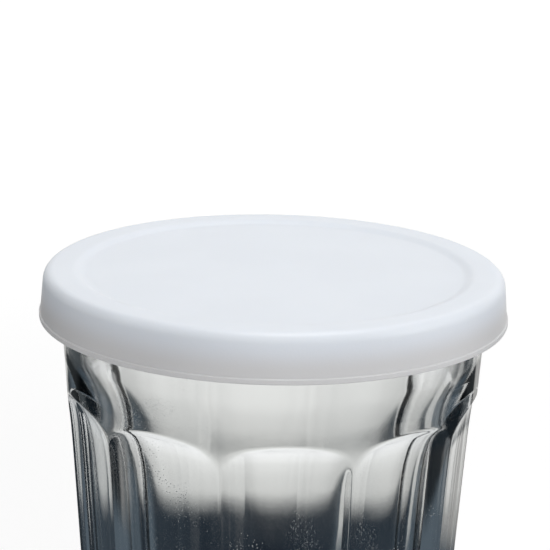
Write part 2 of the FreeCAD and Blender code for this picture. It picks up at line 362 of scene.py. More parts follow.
@dataclass(frozen=True)
class ClearGlass:
    """Clear pressed glass: smooth, a little wavy, with fine dust on it.

    Args:
        tint: colour that the glass lets through.
        bend: index of refraction.
        roughness: roughness of the pressed surface.
        wave_depth: height of the surface's slow waves, in metres.
        wave_scale: slow waves in a metre.
        wave_detail: octaves of the slow waves.
        grain_depth: height of its fine grain, in metres.
        grain_scale: grains in a metre.
        fine_detail: octaves of the grain and of the patches of dust.
        dust_size: size of a dust speck's cell, in metres.
        dust_share: how much of its cell a speck fills where dust lies thickest.
        dust_scale: patches of dust in a metre.
        dust_patch: noise values between which a patch's dust thickens.
        dust_low: height up to which the dust is thick, in metres.
        dust_high: height from which it is thin, in metres.
        dust_thin: how thick it is there, as a share.
        speck_roughness: roughness of a speck.
    """

    tint: Colour = (0.985, 0.993, 0.993)
    bend: float = 1.5
    roughness: float = 0.04
    wave_depth: float = 0.00002
    wave_scale: float = 130.0
    wave_detail: float = 1.0
    grain_depth: float = 0.0000015
    grain_scale: float = 1100.0
    fine_detail: float = 2.0
    dust_size: float = 0.0006
    dust_share: float = 0.19
    dust_scale: float = 70.0
    dust_patch: tuple[float, float] = (0.46, 0.64)
    dust_low: float = 0.080
    dust_high: float = 0.090
    dust_thin: float = 0.45
    speck_roughness: float = 0.8

    def dusty(self, bench: NodeBench, place: bpy.types.NodeSocket) -> bpy.types.NodeSocket:
        """Strew specks of dust over the glass, in patches that thin out upwards.

        Args:
            bench: bench that the nodes stand on.
            place: place on the glass.

        Returns:
            Roughness of the glass with its dust.
        """
        cells = bench.add("ShaderNodeTexVoronoi", feature="F1")
        bench.feed(cells.inputs["Vector"], place)
        cells.inputs["Scale"].default_value = 1 / self.dust_size
        patch = bench.ramp(bench.noise(place, self.dust_scale, self.fine_detail), *self.dust_patch)
        low = bench.ramp(bench.split(place)[2], self.dust_high, self.dust_low)
        thickness = bench.math("MULTIPLY_ADD", low, 1 - self.dust_thin, self.dust_thin)
        reach = bench.math("MULTIPLY", bench.math("MULTIPLY", patch, thickness), self.dust_share)
        speck = bench.math("LESS_THAN", cells.outputs["Distance"], reach)
        rough = bench.math("MULTIPLY", speck, self.speck_roughness)
        return bench.math("MAXIMUM", rough, self.roughness)

    def wavy(self, bench: NodeBench, place: bpy.types.NodeSocket) -> bpy.types.NodeSocket:
        """Give the glass its slow waves and fine grain.

        Args:
            bench: bench that the nodes stand on.
            place: place on the glass.

        Returns:
            Normal of the glass with its relief.
        """
        slow = bench.noise(place, self.wave_scale, self.wave_detail)
        fine = bench.noise(place, self.grain_scale, self.fine_detail)
        waves = bench.math("MULTIPLY", slow, self.wave_depth)
        grain = bench.math("MULTIPLY", fine, self.grain_depth)
        relief = bench.add("ShaderNodeBump")
        relief.inputs["Strength"].default_value = 1.0
        relief.inputs["Distance"].default_value = 1.0
        bench.feed(relief.inputs["Height"], bench.math("ADD", waves, grain))
        return relief.outputs["Normal"]

    def make(self) -> bpy.types.Material:
        """Make the material.

        Returns:
            The glass.
        """
        material, bench, shader = blank_material("clear_glass")
        shader.inputs["Base Color"].default_value = (*self.tint, 1.0)
        shader.inputs["Transmission Weight"].default_value = 1.0
        shader.inputs["IOR"].default_value = self.bend
        place = bench.add("ShaderNodeTexCoord").outputs["Object"]
        bench.feed(shader.inputs["Roughness"], self.dusty(bench, place))
        bench.feed(shader.inputs["Normal"], self.wavy(bench, place))
        return material


@dataclass(frozen=True)
class SatinPlastic:
    """Soft white lid plastic: satin, and a little see-through where it is thin, with painted shade on
    its skirt.

    Args:
        colour: colour of the plastic.
        shade: the slightly darker colour of its faint clouding.
        skirt: colour of the skirt, darker and greyer than the top: painted shade for the lesser light
            that falls on the skirt.
        skirt_low: height at which that painted shade is full, in metres.
        skirt_high: height at which it ends, in metres.
        cloud_scale: clouds in a metre.
        cloud_detail: octaves of the clouding.
        cloud_spread: noise values between which the clouding goes from shade to colour.
        roughness: roughness of the moulded surface.
        glow: share of the light that spreads inside it.
        glow_tint: how far red, green and blue spread beside each other.
        bleed: how far light spreads inside it, in metres.
        grain_scale: grains in a metre.
        grain_detail: octaves of the grain.
        grain_depth: height of the grain, in metres.
        grain_share: how much of the grain's relief shows.
    """

    colour: Colour = (0.84, 0.885, 0.962)
    shade: Colour = (0.825, 0.869, 0.942)
    # painted shade: the skirt's darker, greyer colour
    skirt: Colour = (0.715, 0.715, 0.725)
    skirt_low: float = 0.1010
    skirt_high: float = 0.1065
    cloud_scale: float = 45.0
    cloud_detail: float = 3.0
    cloud_spread: tuple[float, float] = (0.35, 0.65)
    roughness: float = 0.36
    glow: float = 0.35
    glow_tint: Colour = (1.0, 0.95, 0.9)
    bleed: float = 0.0015
    grain_scale: float = 2400.0
    grain_detail: float = 2.0
    grain_depth: float = 0.0001
    grain_share: float = 0.12

    def make(self) -> bpy.types.Material:
        """Make the material.

        Returns:
            The plastic.
        """
        material, bench, shader = blank_material("satin_plastic")
        place = bench.add("ShaderNodeTexCoord").outputs["Object"]
        clouding = bench.noise(place, self.cloud_scale, self.cloud_detail)
        cloud = bench.ramp(clouding, *self.cloud_spread)
        top = bench.blend(cloud, self.shade, self.colour)
        # painted shade: below the top, the colour gives way to the darker skirt colour
        height = bench.ramp(bench.split(place)[2], self.skirt_low, self.skirt_high)
        bench.feed(shader.inputs["Base Color"], bench.blend(height, self.skirt, top))
        shader.inputs["Roughness"].default_value = self.roughness
        shader.inputs["Subsurface Weight"].default_value = self.glow
        shader.inputs["Subsurface Radius"].default_value = self.glow_tint
        shader.inputs["Subsurface Scale"].default_value = self.bleed
        grain = bench.add("ShaderNodeBump")
        grain.inputs["Strength"].default_value = self.grain_share
        grain.inputs["Distance"].default_value = self.grain_depth
        bench.feed(grain.inputs["Height"], bench.noise(place, self.grain_scale, self.grain_detail))
        bench.feed(shader.inputs["Normal"], grain.outputs["Normal"])
        return material


# ---------------------------------------------------------------- the jar


@dataclass
class PanelPress:
    """Works out, in a node tree, how far flat panels with scooped arches press the glass in.

    Args:
        bench: bench on the tree.
        given: the tree's named inputs.
    """

    bench: NodeBench
    given: Mapping[str, bpy.types.NodeSocket]

    def ridge(self, height: Value) -> bpy.types.NodeSocket:
        """Work out where the ridges lie before they are rounded.

        Args:
            height: height on the glass, in metres.

        Returns:
            Their distance from the axis.
        """
        m = self.bench.math
        taper = m("ADD", self.given["Foot Radius"], m("MULTIPLY", self.given["Taper"], height))
        return m("SUBTRACT", taper, self.given["Ridge Inset"])

    def plane(self, height: Value, half: Value) -> bpy.types.NodeSocket:
        """Work out a panel's plane, which its scoop and its tail bring out to the taper.

        Args:
            height: height on the glass, in metres.
            half: half of the turn that a panel takes up.

        Returns:
            The plane's distance from the axis.
        """
        m, given = self.bench.math, self.given
        top_ridge = self.ridge(given["Arch Top"])
        top_plane = m("MULTIPLY", top_ridge, m("COSINE", half))
        climb = m("SUBTRACT", m("ADD", top_ridge, given["Ridge Inset"]), top_plane)
        below = m("SUBTRACT", given["Arch Top"], height)
        fade = [
            m("EXPONENT", m("MULTIPLY", m("DIVIDE", below, given[name]), -1.0))
            for name in ("Scoop Reach", "Tail Reach")
        ]
        scoop = m("MULTIPLY", given["Scoop Share"], fade[0])
        tail = m("MULTIPLY", m("SUBTRACT", 1.0, given["Scoop Share"]), fade[1])
        away = m("MULTIPLY", climb, m("ADD", scoop, tail))
        return m("ADD", m("MULTIPLY", self.ridge(height), m("COSINE", half)), away)

    def rounded(self, plane: Value, half: Value, turn: Value) -> bpy.types.NodeSocket:
        """Round the ridge beside a panel with a circle that touches the panels on both its sides.

        Args:
            plane: distance of the panel's plane from the axis.
            half: half of the turn that a panel takes up.
            turn: turn off the panel's middle.

        Returns:
            Distance from the axis at that turn, on the panel or on the ridge.
        """
        m, rounding = self.bench.math, self.given["Ridge Round"]
        inner = m("SUBTRACT", plane, rounding)
        centre = m("DIVIDE", inner, m("COSINE", half))
        touch = m("ARCTANGENT", m("DIVIDE", m("MULTIPLY", inner, m("TANGENT", half)), plane))
        aside = m("SUBTRACT", half, turn)
        across = m("MULTIPLY", centre, m("SINE", aside))
        deep = m("SUBTRACT", m("POWER", rounding, 2.0), m("MULTIPLY", across, across))
        on_arc = m("ADD", m("MULTIPLY", centre, m("COSINE", aside)), m("SQRT", m("MAXIMUM", deep, 0.0)))
        on_plane = m("DIVIDE", plane, m("COSINE", turn))
        is_ridge = m("GREATER_THAN", turn, touch)
        lean = m("MULTIPLY", is_ridge, m("SUBTRACT", on_arc, on_plane))
        return m("ADD", on_plane, lean)

    def place(self) -> bpy.types.NodeSocket:
        """Work out where each point of the blank's taper is pressed to.

        Returns:
            Its new place.
        """
        bench, m, given = self.bench, self.bench.math, self.given
        x, y, z = bench.split(bench.add("GeometryNodeInputPosition").outputs[0])
        reach = m("SQRT", m("ADD", m("MULTIPLY", x, x), m("MULTIPLY", y, y)))
        half = m("DIVIDE", math.pi, given["Panels"])
        turn = m("WRAP", m("ARCTAN2", x, m("MULTIPLY", y, -1.0)), half, m("MULTIPLY", half, -1.0))
        turn = m("ABSOLUTE", turn)
        panel = self.rounded(self.plane(z, half), half, turn)
        pressed = m("SMOOTH_MIN", reach, panel, given["Edge Softness"])
        scale = m("DIVIDE", pressed, m("MAXIMUM", reach, ON_AXIS))
        place = bench.add("ShaderNodeCombineXYZ")
        for socket, value in zip(place.inputs, (m("MULTIPLY", x, scale), m("MULTIPLY", y, scale), z)):
            bench.feed(socket, value)
        return place.outputs[0]


@dataclass
class PressedJar:
    """The glass jar: a turned blank, pressed into flat panels that end in scooped arches.

    Sizes are in mm.

    Args:
        height: foot to rim, from the frame.
        bead_radius: outside of the mouth bead, from the frame.
        foot_radius: outside of the taper, carried down to the foot.
        bead_reach: how far the mouth bead stands out from the collar.
        bead_height: height of the bead.
        bead_slope: height over which the bead leaves the collar.
        bead_round: rounding of the bead's lower edge.
        rim_round: rounding of the rim's outer edge.
        bore_round: rounding of the rim's inner edge.
        bore_run: length of the bore's first stretch, in roundings.
        collar_wall: wall of the collar.
        body_wall: wall behind the panels.
        step_height: height over which the wall goes from one to the other.
        step_rise: how far the middle of that lies above the arches' tops.
        floor_thickness: thickness of the floor.
        floor_round: rounding between floor and wall.
        heel_round: rounding of the heel.
        hollow_radius: outside of the hollow under the foot.
        hollow_depth: depth of that hollow.
        hollow_slope: width of its sloping side.
        hollow_round: rounding of its two edges.
        panels: panels round the jar.
        arch_drop: distance of the arches' tops from the rim.
        ridge_inset: how far the ridges lie inside the taper, before rounding.
        ridge_round: rounding of the ridges.
        scoop_share: share of a panel's depth that the scoop takes, the tail taking the rest.
        scoop_reach: height over which the scoop fades into the panel.
        tail_reach: the same for the tail.
        edge_softness: softness of the arches' edges.
        per_panel: columns of the mesh in one panel.
        fine_below: how far the fine rows go down from the arches' tops.
        fine_above: how far they go up.
        taper_rows: rows of the taper below the fine rows.
        fine_rows: the fine rows, which the arches are pressed into.
        collar_rows: rows of the collar, outside and inside.
        step_rows: rows of the inner wall's step.
        floor_rows: rows of the inner wall below the step.
        arc_rows: rows in a quarter turn of rounding.
    """

    height: float
    bead_radius: float
    foot_radius: float = 33.5
    bead_reach: float = 1.75
    bead_height: float = 7.0
    bead_slope: float = 1.7
    bead_round: float = 1.0
    rim_round: float = 1.6
    bore_round: float = 1.0
    bore_run: float = 3.0
    collar_wall: float = 2.9
    body_wall: float = 3.8
    step_height: float = 13.0
    step_rise: float = 1.4
    floor_thickness: float = 7.0
    floor_round: float = 6.0
    heel_round: float = 4.0
    hollow_radius: float = 23.0
    hollow_depth: float = 1.2
    hollow_slope: float = 6.0
    hollow_round: float = 4.0
    panels: int = 10
    arch_drop: float = 21.2
    ridge_inset: float = 0.25
    ridge_round: float = 1.0
    scoop_share: float = 0.65
    scoop_reach: float = 2.0
    tail_reach: float = 3.2
    edge_softness: float = 0.38
    per_panel: int = 40
    fine_below: float = 14.0
    fine_above: float = 2.0
    taper_rows: int = 12
    fine_rows: int = 72
    collar_rows: int = 8
    step_rows: int = 40
    floor_rows: int = 10
    arc_rows: int = 12

    @property
    def collar_radius(self) -> float:
        """Outside of the taper where it meets the bead."""
        return self.bead_radius - self.bead_reach

    @property
    def neck(self) -> float:
        """Height at which the bead starts."""
        return self.height - self.bead_height

    @property
    def taper(self) -> float:
        """How much the radius grows for each mm of height."""
        return (self.collar_radius - self.foot_radius) / self.neck

    @property
    def arch_top(self) -> float:
        """Height of the arches' tops."""
        return self.height - self.arch_drop

    def radius_at(self, height: float) -> float:
        """Outside of the taper at a height."""
        return self.foot_radius + self.taper * height

    def outside(self) -> list[Ring]:
        """Trace the blank from the middle of the foot up to the bead.

        Returns:
            Its rings, the last of them at the neck.
        """
        fine_low, fine_high = self.arch_top - self.fine_below, self.arch_top + self.fine_above
        return rounded_outline([
            Corner(0, self.hollow_depth),
            Corner(self.hollow_radius - self.hollow_slope, self.hollow_depth, self.hollow_round, 3),
            Corner(self.hollow_radius, 0, self.hollow_round),
            Corner(self.foot_radius, 0, self.heel_round, 2),
            Corner(self.radius_at(fine_low), fine_low, 0, self.taper_rows),
            Corner(self.radius_at(fine_high), fine_high, 0, self.fine_rows),
            Corner(self.collar_radius, self.neck, 0, self.collar_rows),
        ], self.arc_rows)

    def inside(self) -> list[Ring]:
        """Trace the bead, the rim and the cavity, from the neck to the middle of the floor.

        Returns:
            Their rings, the first of them at the neck.
        """
        bore = self.radius_at(self.height) - self.collar_wall
        run = self.bore_round * self.bore_run
        rings = rounded_outline([
            Corner(self.collar_radius, self.neck),
            Corner(self.bead_radius, self.neck + self.bead_slope, self.bead_round, 3),
            Corner(self.bead_radius, self.height, self.rim_round, 2),
            Corner(bore, self.height, self.bore_round, 2),
            Corner(bore - self.taper * run, self.height - run),
        ], self.arc_rows)
        middle = self.arch_top + self.step_rise
        low, high = middle - self.step_height / 2, middle + self.step_height / 2
        top = rings[-1][1]
        for row in range(1, self.collar_rows):
            height = top + (high - top) * row / self.collar_rows
            rings.append((self.radius_at(height) - self.collar_wall, height))
        for row in range(self.step_rows + 1):
            share = row / self.step_rows
            height = high + (low - high) * share
            eased = share * share * (3 - 2 * share)
            wall = self.collar_wall + (self.body_wall - self.collar_wall) * eased
            rings.append((self.radius_at(height) - wall, height))
        floor_reach = self.radius_at(self.floor_thickness) - self.body_wall
        rings.extend(rounded_outline([
            Corner(self.radius_at(low) - self.body_wall, low),
            Corner(floor_reach, self.floor_thickness, self.floor_round, self.floor_rows),
            Corner(0, self.floor_thickness, 0, 3),
        ], self.arc_rows)[1:])
        return rings

    def blank(self) -> bpy.types.Object:
        """Turn the blank, and mark its taper for the panels.

        Returns:
            The blank.
        """
        outside, inside = self.outside(), self.inside()
        rings = outside + inside[1:]
        piece = turned_mesh("glass_jar", rings, panel_columns(self.panels, self.per_panel))
        mark = piece.data.attributes.new("taper_side", "FLOAT", "POINT")
        on_taper = len(outside) - 1
        count, index = self.panels * self.per_panel, 0
        for ring, (reach, _) in enumerate(rings):
            width = 1 if reach < ON_AXIS else count
            for _ in range(width):
                mark.data[index].value = 1.0 if ring < on_taper else 0.0
                index += 1
        return piece

    def panel_sizes(self) -> dict[str, float]:
        """Set out the sizes that the panels are pressed with.

        Returns:
            The value of each of the panel tree's inputs for sizes, with lengths in metres.
        """
        return {
            "Panels": float(self.panels),
            "Foot Radius": self.foot_radius * MM,
            "Taper": self.taper,
            "Ridge Inset": self.ridge_inset * MM,
            "Ridge Round": self.ridge_round * MM,
            "Arch Top": self.arch_top * MM,
            "Scoop Share": self.scoop_share,
            "Scoop Reach": self.scoop_reach * MM,
            "Tail Reach": self.tail_reach * MM,
            "Edge Softness": self.edge_softness * MM,
        }

    def panel_tree(self, names: Iterable[str]) -> bpy.types.NodeTree:
        """Build the node tree that presses the panels into the blank.

        Args:
            names: names of its inputs for sizes.

        Returns:
            The tree, which has one more input for the glass.
        """
        tree = bpy.data.node_groups.new("press_panels", "GeometryNodeTree")
        face = tree.interface
        face.new_socket("Geometry", in_out="OUTPUT", socket_type="NodeSocketGeometry")
        face.new_socket("Geometry", in_out="INPUT", socket_type="NodeSocketGeometry")
        for name in names:
            face.new_socket(name, in_out="INPUT", socket_type="NodeSocketFloat")
        face.new_socket("Glass", in_out="INPUT", socket_type="NodeSocketMaterial")
        bench = NodeBench(tree)
        given = bench.add("NodeGroupInput").outputs
        mark = bench.add("GeometryNodeInputNamedAttribute", data_type="FLOAT")
        mark.inputs["Name"].default_value = "taper_side"
        press = bench.add("GeometryNodeSetPosition")
        bench.feed(press.inputs["Geometry"], given["Geometry"])
        bench.feed(press.inputs["Selection"], bench.math("GREATER_THAN", mark.outputs[0], 0.5))
        bench.feed(press.inputs["Position"], PanelPress(bench, given).place())
        real = bench.add("GeometryNodeRealizeInstances")
        bench.feed(real.inputs[0], press.outputs[0])
        dress = bench.add("GeometryNodeSetMaterial")
        bench.feed(dress.inputs["Geometry"], real.outputs[0])
        bench.feed(dress.inputs["Material"], given["Glass"])
        bench.feed(bench.add("NodeGroupOutput").inputs[0], dress.outputs[0])
        return tree

    def build(self, finish: ClearGlass) -> bpy.types.Object:
        """Make the jar, dress it and hand it to the frame.

        Args:
            finish: the glass.

        Returns:
            The finished piece.
        """
        piece = self.blank()
        sizes = self.panel_sizes()
        given: dict[str, Any] = {**sizes, "Glass": finish.make()}
        press = piece.modifiers.new("press_panels", "NODES")
        press.node_group = self.panel_tree(sizes)
        for socket in press.node_group.interface.items_tree:
            if socket.in_out == "INPUT" and socket.name in given:
                press[socket.identifier] = given[socket.name]
        keep_result(piece)
        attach(piece, "root")
        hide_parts("jar")
        return piece


def keep_result(piece: bpy.types.Object) -> None:
    """Turn what a piece's modifiers make into its own plain mesh, and remove them.

    Args:
        piece: the piece.
    """
    ready = piece.evaluated_get(bpy.context.evaluated_depsgraph_get())
    mesh = bpy.data.meshes.new_from_object(ready)
    piece.modifiers.clear()
    piece.data = mesh


# ---------------------------------------------------------------- the lid


@dataclass
class PressOnLid:
    """The plastic lid: recessed top, rounded edge, flared skirt and thin lip.

    Sizes are in mm.

    Args:
        top: height of the lid's top, from the frame.
        bottom: height of its lower edge, from the frame.
        lip_radius: outside of its lip, from the frame.
        rim: height of the jar's rim, which the lid sits on.
        lip_reach: how far the lip stands out from the skirt.
        lip_height: height of the lip.
        lip_bevel: height of the slope on the lip's upper edge.
        lip_round: rounding of the lip's outer upper edge.
        edge_round: rounding of the lower edges.
        skirt_flare: how much wider the skirt is at its foot than at the shoulder.
        skirt_wall: wall of the skirt, at the shoulder.
        plate: thickness of the top.
        shoulder_round: rounding of the top's outer edge.
        corner_round: rounding between skirt and seat, inside.
        recess_depth: depth of the recess in the top.
        recess_slope: width of the recess's sloping side.
        recess_round: rounding of both ends of that side.
        recess_radius: radius of the recess's flat.
        plug_wall: how far the plug reaches past the recess's flat.
        plug_round: rounding between plug and underside.
        snap_reach: how far the snap bead stands in.
        snap_height: height of the snap bead.
        snap_round: rounding of the snap bead's crest.
        fillet: rounding of the inner corners that are nearly sharp.
        slight: rounding of the corners that are only just broken.
        tail: height of the skirt below the snap bead.
        columns: columns of the mesh round the lid.
        arc_rows: rows in a quarter turn of rounding.
    """

    top: float
    bottom: float
    lip_radius: float
    rim: float
    lip_reach: float = 0.25
    lip_height: float = 1.15
    lip_bevel: float = 0.2
    lip_round: float = 0.08
    edge_round: float = 0.3
    skirt_flare: float = 0.65
    skirt_wall: float = 1.15
    plate: float = 1.2
    shoulder_round: float = 2.1
    corner_round: float = 0.8
    recess_depth: float = 0.7
    recess_slope: float = 1.6
    recess_round: float = 2.4
    recess_radius: float = 36.1
    plug_wall: float = 1.0
    plug_round: float = 0.2
    snap_reach: float = 0.67
    snap_height: float = 2.2
    snap_round: float = 0.5
    fillet: float = 0.1
    slight: float = 0.05
    tail: float = 0.2
    columns: int = 360
    arc_rows: int = 10

    def outline(self) -> list[Ring]:
        """Trace the lid from the middle of its top, round its edge, to that of its underside.

        Returns:
            Its rings.
        """
        skirt = self.lip_radius - self.lip_reach
        shoulder = skirt - self.skirt_flare
        inner = shoulder - self.skirt_wall
        lip_top = self.bottom + self.lip_height
        snap_low = self.bottom + self.tail
        recess = self.top - self.recess_depth
        under = recess - self.plate
        plug = self.recess_radius + self.plug_wall
        return rounded_outline([
            Corner(0, recess),
            Corner(self.recess_radius, recess, self.recess_round, 12),
            Corner(self.recess_radius + self.recess_slope, self.top, self.recess_round),
            Corner(shoulder, self.top, self.shoulder_round, 4),
            Corner(skirt, lip_top, self.slight, 8),
            Corner(self.lip_radius, lip_top - self.lip_bevel, self.lip_round),
            Corner(self.lip_radius, self.bottom, self.edge_round, 2),
            Corner(inner, self.bottom, self.edge_round, 2),
            Corner(inner, snap_low, self.slight),
            Corner(inner - self.snap_reach, snap_low + self.snap_height / 2, self.snap_round, 2),
            Corner(inner, snap_low + self.snap_height, self.fillet, 2),
            Corner(inner, self.rim, self.corner_round, 3),
            Corner(plug, self.rim, self.fillet, 3),
            Corner(plug, under, self.plug_round),
            Corner(0, under, 0, 8),
        ], self.arc_rows)

    def build(self, finish: SatinPlastic) -> bpy.types.Object:
        """Make the lid, dress it and hand it to the frame.

        Args:
            finish: the plastic.

        Returns:
            The finished piece.
        """
        piece = turned_mesh("plastic_lid", self.outline(), even_columns(self.columns))
        piece.data.materials.append(finish.make())
        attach(piece, "root")
        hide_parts("lid")
        return piece


# ---------------------------------------------------------------- the studio


class Side(Enum):
    """The lamps' places, as (x, y, z) in metres."""

    ABOVE = (0.05, 0.02, 0.75)
    RIGHT = (0.80, -0.35, 0.40)
    FRONT = (0.30, -0.95, 0.40)


@dataclass(frozen=True)
class Surroundings:
    """What the glass bends and mirrors: a dark table, with pale windows beyond its edges.

    Angles are in degrees. Elevations are reckoned from eye_height above the table.

    Args:
        facing: turn of the table and its windows round the jar.
        eye_height: height above the table that elevations are reckoned from, in metres.
        table_edge: distance of the table's edges from the jar's axis, in metres.
        edge_blur: width over which an edge fades, in metres.
        low_half: half width of the front and back windows at the table's edge.
        high_half: half width of the same windows higher up.
        widening: elevations between which one becomes the other.
        half_blur: angle over which a window's side fades, to each side.
        side_half: half width of the windows to the sides.
        side_share: how bright these are beside the front window.
        strip: (from, to) of a narrow window to the right of the front and back ones.
        strip_blur: angle over which its sides fade, to each side.
        strip_notch: how far the table is cut back towards it, in metres.
        quarter_from: angle off the front from which a wide soft box stands at each front quarter.
        quarter_share: how bright it is beside the front window.
        dimming: how much a window loses towards its sides.
        dimming_from: angle off the front from which it loses that.
        sky: (elevation, colour) of the windows, from the table's edge upwards.
        table: colour of the table in front and behind.
        table_wing: colour of the table to the sides.
        table_fade: angles off the front between which one becomes the other.
        wall_wing: colour of the wall beside a window.
        wall_corner: colour of the wall in the room's corners.
        wall_fade: angles off the front between which one becomes the other.
        least_away: distance from the axis that the elevations start from, in metres.
    """

    facing: float = 4.5
    eye_height: float = 0.060
    table_edge: float = 0.160
    edge_blur: float = 0.028
    low_half: float = 19.5
    high_half: float = 28.5
    widening: tuple[float, float] = (-20.5, -12.5)
    half_blur: float = 3.0
    side_half: float = 9.0
    side_share: float = 0.4
    strip: tuple[float, float] = (27.5, 37.0)
    strip_blur: float = 0.7
    strip_notch: float = 0.04
    quarter_from: float = 42.0
    quarter_share: float = 0.75
    dimming: float = 0.28
    dimming_from: float = 8.0
    sky: tuple[tuple[float, Colour], ...] = (
        (-20.5, (0.50, 0.50, 0.485)),
        (-18.5, (0.64, 0.64, 0.625)),
        (-12.5, (0.79, 0.79, 0.775)),
        (-10.0, (0.90, 0.90, 0.89)),
        (-5.0, (0.97, 0.97, 0.97)),
    )
    table: Colour = (0.014, 0.020, 0.028)
    table_wing: Colour = (0.080, 0.104, 0.126)
    table_fade: tuple[float, float] = (22.0, 32.0)
    wall_wing: Colour = (0.070, 0.080, 0.086)
    wall_corner: Colour = (0.006, 0.009, 0.012)
    wall_fade: tuple[float, float] = (47.0, 57.0)
    least_away: float = 1e-4

    def turned(self, bench: NodeBench, place: bpy.types.NodeSocket) -> Sequence[bpy.types.NodeSocket]:
        """Take a place or direction into the turned table's own frame.

        Args:
            bench: bench that the nodes stand on.
            place: the place or direction.

        Returns:
            Its X, Y and Z there.
        """
        turn = bench.add("ShaderNodeVectorRotate", rotation_type="Z_AXIS")
        bench.feed(turn.inputs["Vector"], place)
        turn.inputs["Angle"].default_value = math.radians(self.facing)
        return bench.split(turn.outputs[0])

    def off_front(self, bench: NodeBench, x: Value, y: Value) -> bpy.types.NodeSocket:
        """Angle between the direction of (x, y) and the nearer of front and back."""
        m = bench.math
        return m("MULTIPLY", m("ARCTAN2", m("ABSOLUTE", x), m("ABSOLUTE", y)), 180 / math.pi)

    def narrow(self, bench: NodeBench, x: Value, y: Value) -> bpy.types.NodeSocket:
        """Look for the narrow window, which lies to the right of front and of back alone.

        Args:
            bench: bench that the nodes stand on.
            x: X of the place or direction.
            y: Y of the same.

        Returns:
            1 towards it, and 0 elsewhere.
        """
        m = bench.math
        off = self.off_front(bench, x, y)
        low, high = self.strip
        past_low = bench.ramp(off, low - self.strip_blur, low + self.strip_blur)
        before_high = bench.ramp(off, high + self.strip_blur, high - self.strip_blur)
        to_the_right = m("GREATER_THAN", m("MULTIPLY", x, y), 0.0)
        return m("MULTIPLY", m("MULTIPLY", past_low, before_high), to_the_right)

    def quarter(self, bench: NodeBench, x: Value, y: Value) -> bpy.types.NodeSocket:
        """Look for the soft boxes at the front quarters, which show through the glass alone.

        Args:
            bench: bench that the nodes stand on.
            x: X of the place or direction.
            y: Y of the same.

        Returns:
            How bright they are beside the front window, and 0 elsewhere.
        """
        m = bench.math
        off = self.off_front(bench, x, y)
        aside = bench.ramp(off, self.quarter_from - self.half_blur, self.quarter_from + self.half_blur)
        ahead = m("MULTIPLY", aside, m("LESS_THAN", y, 0.0))
        through = bench.add("ShaderNodeLightPath").outputs["Is Transmission Ray"]
        return m("MULTIPLY", m("MULTIPLY", ahead, through), self.quarter_share)

    def window(self, bench: NodeBench, x: Value, y: Value, half: Value) -> bpy.types.NodeSocket:
        """How open the view is towards (x, y).

        Args:
            bench: bench that the nodes stand on.
            x: X of the place or direction.
            y: Y of the same.
            half: half width of the front and back windows there.

        Returns:
            1 in the front, back and narrow windows, less in the others, and 0 between them.
        """
        m = bench.math
        off = self.off_front(bench, x, y)
        front = bench.ramp(m("SUBTRACT", half, off), -self.half_blur, self.half_blur)
        side_edge = 90 - self.side_half
        side = bench.ramp(off, side_edge - self.half_blur, side_edge + self.half_blur)
        open_side = m("MULTIPLY", side, self.side_share)
        wide = m("MAXIMUM", m("MAXIMUM", front, open_side), self.quarter(bench, x, y))
        return m("MAXIMUM", wide, self.narrow(bench, x, y))

    def wing(self, bench: NodeBench, off: Value) -> bpy.types.NodeSocket:
        """Colour of the wall between two windows, darkest in the room's corners."""
        return bench.blend(bench.ramp(off, *self.wall_fade), self.wall_wing, self.wall_corner)

    def floor_colour(self, bench: NodeBench) -> bpy.types.NodeSocket:
        """Colour what lies below the horizon, by the place on the floor.

        Args:
            bench: bench that the nodes stand on.

        Returns:
            Its colour.
        """
        m = bench.math
        x, y, _ = self.turned(bench, bench.add("ShaderNodeTexCoord").outputs["Object"])
        off = self.off_front(bench, x, y)
        away = m("SQRT", m("ADD", m("MULTIPLY", x, x), m("MULTIPLY", y, y)))
        away = m("MAXIMUM", away, self.least_away)
        angle = m("MULTIPLY", m("ARCTANGENT", m("DIVIDE", self.eye_height, away)), -180 / math.pi)

        # the windows dim towards their sides, apart from the narrow one
        sky = bench.stops(angle, self.sky)
        faded = bench.blend(1.0 - self.dimming, BLACK, sky)
        narrow = self.narrow(bench, x, y)
        fading = bench.ramp(off, self.dimming_from, self.high_half)
        fading = m("MULTIPLY", fading, m("SUBTRACT", 1.0, narrow))
        sky = bench.blend(fading, sky, faded)

        # beyond the table's edge they stand between dark walls, and widen upwards
        rise = bench.ramp(angle, *self.widening, smooth=False)
        half = m("ADD", m("MULTIPLY", rise, self.high_half - self.low_half), self.low_half)
        high = bench.blend(self.window(bench, x, y, half), self.wing(bench, off), sky)

        # the table reaches up to that edge, which is cut back towards the narrow window
        low = bench.blend(bench.ramp(off, *self.table_fade), self.table, self.table_wing)
        notch = m("MULTIPLY", narrow, self.strip_notch)
        reach = m("ADD", m("MAXIMUM", m("ABSOLUTE", x), m("ABSOLUTE", y)), notch)
        half_blur = self.edge_blur / 2
        beyond = bench.ramp(reach, self.table_edge - half_blur, self.table_edge + half_blur)
        return bench.blend(beyond, low, high)

    def sky_colour(self, bench: NodeBench) -> bpy.types.NodeSocket:
        """Colour what stands above the horizon, by the direction of view.

        Args:
            bench: bench that the nodes stand on.

        Returns:
            Its colour.
        """
        x, y, _ = self.turned(bench, bench.add("ShaderNodeTexCoord").outputs["Generated"])
        off = self.off_front(bench, x, y)
        share = self.window(bench, x, y, self.high_half)
        return bench.blend(share, self.wing(bench, off), self.sky[-1][1])


def seen_by_glass(bench: NodeBench) -> bpy.types.NodeSocket:
    """1 for rays that have passed through glass or been mirrored."""
    path = bench.add("ShaderNodeLightPath").outputs
    return bench.math("MAXIMUM", path["Is Transmission Ray"], path["Is Glossy Ray"])


